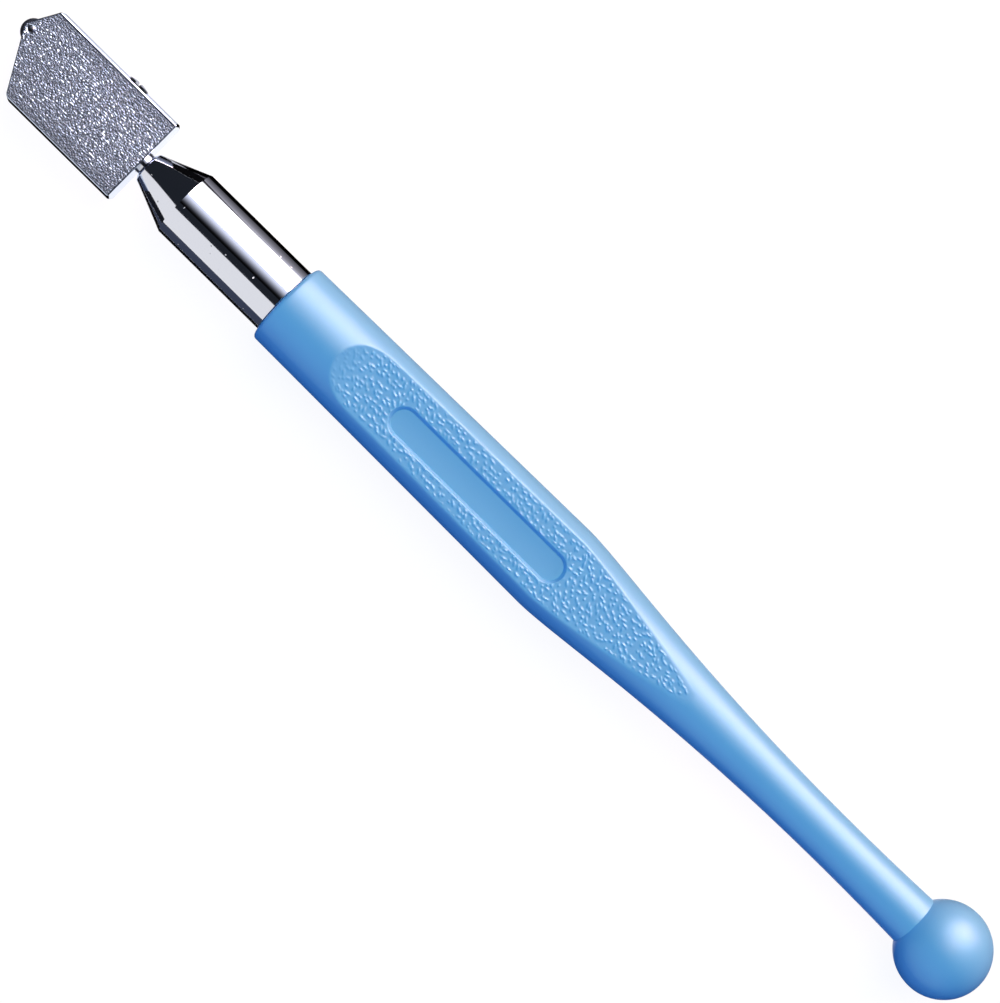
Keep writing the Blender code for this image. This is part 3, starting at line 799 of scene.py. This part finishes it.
# %% Turn and slot the screw
SCREW_RIM = 0.12 * MM
SCREW_UNDER = 0.6 * MM
SCREW_SHANK = 0.85 * MM
SCREW_TIP = 1.2 * MM
SCREW_SLOT = 0.65 * MM
SCREW_SLOT_DEPTH = 0.45 * MM
SCREW_STEPS = 64
DOME_STEPS = 12
SCREW_SHARP = math.radians(35.0)

top = -screw_low.y
rise = top - half - SCREW_RIM
dome = (SCREW_RADIUS ** 2 + rise ** 2) / (2 * rise)
sweep = math.asin(SCREW_RADIUS / dome)
turns = [sweep * k / DOME_STEPS for k in range(DOME_STEPS + 1)]
profile = [(top - dome + dome * math.cos(turn), dome * math.sin(turn)) for turn in turns]
profile += soften([profile.pop(), (half - SCREW_UNDER, SCREW_RADIUS), (half - SCREW_UNDER, SCREW_SHANK),
                   (SCREW_TIP, SCREW_SHANK), (SCREW_TIP, 0.0)], SMALL_EDGE, SMALL_EDGE_STEPS)
screw = to_object(turned(profile, screw_centre, ACROSS, UP, SCREW_STEPS), "slotted_screw")
shape = bmesh.new()
bmesh.ops.create_cube(shape, size=1.0)
bmesh.ops.scale(shape, verts=shape.verts, vec=(SCREW_SLOT, 2 * SCREW_SLOT_DEPTH, 4 * SCREW_RADIUS))
bmesh.ops.translate(shape, verts=shape.verts, vec=(screw_x, -top, AXIS_Z))
cut_away(screw, to_object(shape, "screw_slot_cutter"))
dress(screw, "retaining_screw", "head", ground_steel, SCREW_SHARP)

# %% [markdown]
# ## Table
# The photograph has a pure white ground. The table gives the camera most of its white as a glow of its own,
# and the rest as reflected light, so it reads as white and still keeps the soft shadow under the tool.

# %% Table
TABLE_SIZE = 3.0
TABLE_GLOW = 0.925
SKY_LEVEL = 0.69
SKY_COLOUR = "#61A0FF"


def seen_directly(tree):
    """1 for camera, glossy and transmission rays, otherwise 0."""
    path = add_node(tree, "ShaderNodeLightPath")
    seen = add_node(tree, "ShaderNodeMath", {
        0: path.outputs["Is Camera Ray"], 1: path.outputs["Is Glossy Ray"]}, operation='MAXIMUM')
    return add_node(tree, "ShaderNodeMath", {
        0: seen.outputs["Value"], 1: path.outputs["Is Transmission Ray"]},
        operation='MAXIMUM').outputs["Value"]


white_table, tree = new_finish("white_table")
glow = add_node(tree, "ShaderNodeMath", {0: seen_directly(tree), 1: TABLE_GLOW}, operation='MULTIPLY')
shader = add_node(tree, "ShaderNodeBsdfPrincipled", {
    "Base Color": linear("#636363"), "Roughness": 0.9, "Specular IOR Level": 0.0,
    "Emission Color": (1.0, 1.0, 1.0, 1.0), "Emission Strength": glow.outputs["Value"]})
add_node(tree, "ShaderNodeOutputMaterial", {"Surface": shader.outputs["BSDF"]})

shape = bmesh.new()
bmesh.ops.create_grid(shape, x_segments=1, y_segments=1, size=TABLE_SIZE / 2)
table = to_object(shape, "white_table_top")
table.data.materials.append(white_table)

world = bpy.data.worlds.new("white_studio")
world.use_nodes = True
tree = world.node_tree
tree.nodes.clear()
look = seen_directly(tree)
level = add_node(tree, "ShaderNodeMapRange", {"Value": look, "To Min": SKY_LEVEL, "To Max": 1.0})
tone = add_node(tree, "ShaderNodeMix", {"Factor": look, "A": linear(SKY_COLOUR), "B": linear("#FFFFFF")},
                data_type='RGBA')
sky = add_node(tree, "ShaderNodeBackground", {
    "Color": tone.outputs["Result"], "Strength": level.outputs["Result"]})
add_node(tree, "ShaderNodeOutputWorld", {"Surface": sky.outputs["Background"]})
bpy.context.scene.world = world

# %% [markdown]
# ## Lamps
# A warm lamp stands low on the screw's side of the tool, a paler one hangs higher on the same side, and a
# weak cool panel lifts the shaded side. With the blue sky they add up to a light that is nearly white from
# above and bluer towards the shade, as in the photograph. The lamps are kept out of reflections, because
# cards with clean edges are drawn there instead.

# %% Lamps


def add_lamp(name, place, size, radiance, colour):
    """A rectangular soft lamp that faces the tool; radiance is its brightness as the eye would see it."""
    lamp = bpy.data.lights.new(name, 'AREA')
    lamp.shape = 'RECTANGLE'
    lamp.size, lamp.size_y = size
    lamp.energy = radiance * math.pi * size[0] * size[1]
    lamp.color = linear(colour)[:3]
    panel = bpy.data.objects.new(name, lamp)
    panel.location = place
    panel.rotation_euler = (-Vector(place)).to_track_quat('-Z', 'Y').to_euler()
    panel.visible_glossy = False
    bpy.context.scene.collection.objects.link(panel)


add_lamp("top_lamp", (-0.05, -0.34, 0.725), (0.5, 0.5), 5.7, "#FFF5A0")
add_lamp("low_lamp", (-0.18, -0.69, 0.125), (0.6, 0.25), 23.0, "#FF9679")
add_lamp("cool_panel", (0.0, 0.7, 0.15), (1.2, 0.3), 0.5, "#96E6FF")

# %% [markdown]
# ## Cards
# Chrome shows its surroundings, so the surroundings are built as a photographer builds them: a dark tent, the
# white front of a soft box with a hot middle, which fades out overhead, a pale reflector opposite, and cards
# on the table. Only reflections see these cards, so they neither light the tool nor throw a shadow.

# %% Cards
FADE_FROM = -0.3
FADE_TO = 0.09
FADE_POWER = 1.7
FRONT_FOOT = -1.0
CARD_HEIGHT = 0.6
CARD_LIFT = 0.0001
TENT_RADIUS = 1.6
LIT_TABLE_LEVEL = 0.8
LIT_TABLE_POWER = 0.5
CORE_PLACE = (-0.06, -0.608, 0.337)
CORE_SIZE = (0.55, 0.55, 0.55)
CORE_LEVEL = 25.5
CLOTH_LEVEL = 1.4
CORE_COLOUR = "#FFCFC0"
GREY_FROM = -0.0135
GREY_TO = -0.1335


def card_finish(name, colour, strength):
    """A card that looks the same from everywhere; colour and strength may be functions of the tree."""
    finish, tree = new_finish(name)
    shader = add_node(tree, "ShaderNodeEmission", {
        "Color": colour(tree) if callable(colour) else linear(colour),
        "Strength": strength(tree) if callable(strength) else strength})
    add_node(tree, "ShaderNodeOutputMaterial", {"Surface": shader.outputs["Emission"]})
    return finish


def show_only_in_reflections(card, finish):
    """Give a card its finish and hide it from everything but reflections."""
    card.data.materials.append(finish)
    card.visible_camera = False
    card.visible_diffuse = False
    card.visible_shadow = False
    card.visible_transmission = False


def add_card(name, span, near, far, finish):
    """A card between two lines along X, each given by its y and z."""
    shape = bmesh.new()
    places = ((span[0], *near), (span[1], *near), (span[1], *far), (span[0], *far))
    shape.faces.new([shape.verts.new(place) for place in places])
    show_only_in_reflections(to_object(shape, name), finish)


def ramp_across(tree, dark_y, bright_y, bright, power, interpolation):
    """Brightness that grows from 0 at one y to its full level at another."""
    place = add_node(tree, "ShaderNodeTexCoord")
    parts = add_node(tree, "ShaderNodeSeparateXYZ", {"Vector": place.outputs["Object"]})
    ramp = add_node(tree, "ShaderNodeMapRange", {"Value": parts.outputs["Y"], "From Min": dark_y,
                                                 "From Max": bright_y}, interpolation_type=interpolation)
    bent = add_node(tree, "ShaderNodeMath", {0: ramp.outputs["Result"], 1: power}, operation='POWER')
    return add_node(tree, "ShaderNodeMath", {0: bent.outputs["Value"], 1: bright},
                    operation='MULTIPLY').outputs["Value"]


def hot_middle(tree):
    """1 in the middle of the soft box's front, falling softly to 0."""
    place = add_node(tree, "ShaderNodeTexCoord")
    shifted = add_node(tree, "ShaderNodeMapping", {"Vector": place.outputs["Object"], "Location": CORE_PLACE,
                                                   "Scale": CORE_SIZE}, vector_type='TEXTURE')
    far = add_node(tree, "ShaderNodeVectorMath", {0: shifted.outputs["Vector"]}, operation='LENGTH')
    return add_node(tree, "ShaderNodeMapRange", {
        "Value": far.outputs["Value"], "From Min": 1.0, "From Max": 0.0},
        interpolation_type='SMOOTHSTEP').outputs["Result"]


def cloth_level(tree):
    """Brightness of the soft box's front, from its rim to its hot middle."""
    return add_node(tree, "ShaderNodeMapRange", {"Value": hot_middle(tree), "To Min": CLOTH_LEVEL,
                                                 "To Max": CORE_LEVEL}).outputs["Result"]


def cloth_colour(tree):
    """Colour of the soft box's front, white at its rim and warmer in its middle."""
    return add_node(tree, "ShaderNodeMix", {"Factor": hot_middle(tree), "A": linear("#FFFFFF"),
                                            "B": linear(CORE_COLOUR)}, data_type='RGBA').outputs["Result"]


def overhead_fade(tree):
    """Brightness of the cloth overhead, which fades out past the tool."""
    return ramp_across(tree, FADE_TO, FADE_FROM, CLOTH_LEVEL, FADE_POWER, 'SMOOTHSTEP')


def lit_table(tree):
    """Brightness of the grey card, which grows with the distance from the tool; painted shade of the tool's
    shadow on the table.
    """
    return ramp_across(tree, GREY_FROM, GREY_TO, LIT_TABLE_LEVEL, LIT_TABLE_POWER, 'LINEAR')


# %% Put up the tent, the soft box and the reflector
shape = bmesh.new()
bmesh.ops.create_uvsphere(shape, u_segments=32, v_segments=16, radius=TENT_RADIUS)
show_only_in_reflections(to_object(shape, "dark_tent"), card_finish("dark_cloth", "#22262D", 1.0))
add_card("soft_box_front", (-0.75, 0.42), (FADE_FROM, CARD_HEIGHT), (FRONT_FOOT, 0.001),
         card_finish("soft_box_cloth", cloth_colour, cloth_level))
add_card("soft_box_fade", (-0.75, 0.3), (FADE_FROM, CARD_HEIGHT), (FADE_TO, CARD_HEIGHT),
         card_finish("fading_cloth", "#E6ECFF", overhead_fade))
add_card("reflector", (-0.7, 1.0), (0.36, 0.62), (0.8, 0.001), card_finish("pale_board", "#FAFBFD", 1.0))

# %% Lay the cards on the table
slate = card_finish("slate_board", "#3F4659", 1.0)
black = card_finish("black_board", "#0B0B0D", 1.0)
white = card_finish("white_board", "#FFFFFF", 1.03)
pale = card_finish("pale_grey_board", "#D4D6E0", 1.0)
flat_cards = (
    # Painted shadow: this near-black strip beside the tool, on the side away from the lamps, stands for the
    # table in the tool's own shadow, seen only in reflections.
    ("painted_shadow_card", (-0.4, 0.6), 0.007, 0.013, black),
    ("slate_card", (-0.4, 0.068), 0.013, 0.11, slate),
    ("dark_card", (0.068, 0.6), 0.013, 0.11, card_finish("dark_board", "#181B22", 1.0)),
    ("bright_card", (-0.7, 1.0), 0.11, 0.8, white),
    ("slate_card_at_the_tail", (-0.4, TAIL_X - MM), -0.0066, 0.007, slate),
    ("slate_card_at_the_head", (MM - TAIL_X, 0.6), -0.0066, 0.007, slate),
    ("black_card", (0.065, 0.6), -0.7, -0.0066, black),
    ("white_card_at_the_head", (HEAD_BASE_X, HEAD_BASE_X + HEAD_LENGTH), -0.0125, -0.0066, pale),
    # Painted shadow: the grey card is dark next to the tool and brighter further out, standing for the tool's
    # shadow on the table, seen only in reflections.
    ("grey_card", (-0.4, 0.065), -0.7, -0.0066, card_finish("grey_board", "#F1EFFC", lit_table)),
)
for layer, (name, span, low_y, high_y, finish) in enumerate(flat_cards, 1):
    add_card(name, span, (low_y, CARD_LIFT * layer), (high_y, CARD_LIFT * layer), finish)

# %% Finish
bpy.context.scene.view_settings.view_transform = 'Standard'
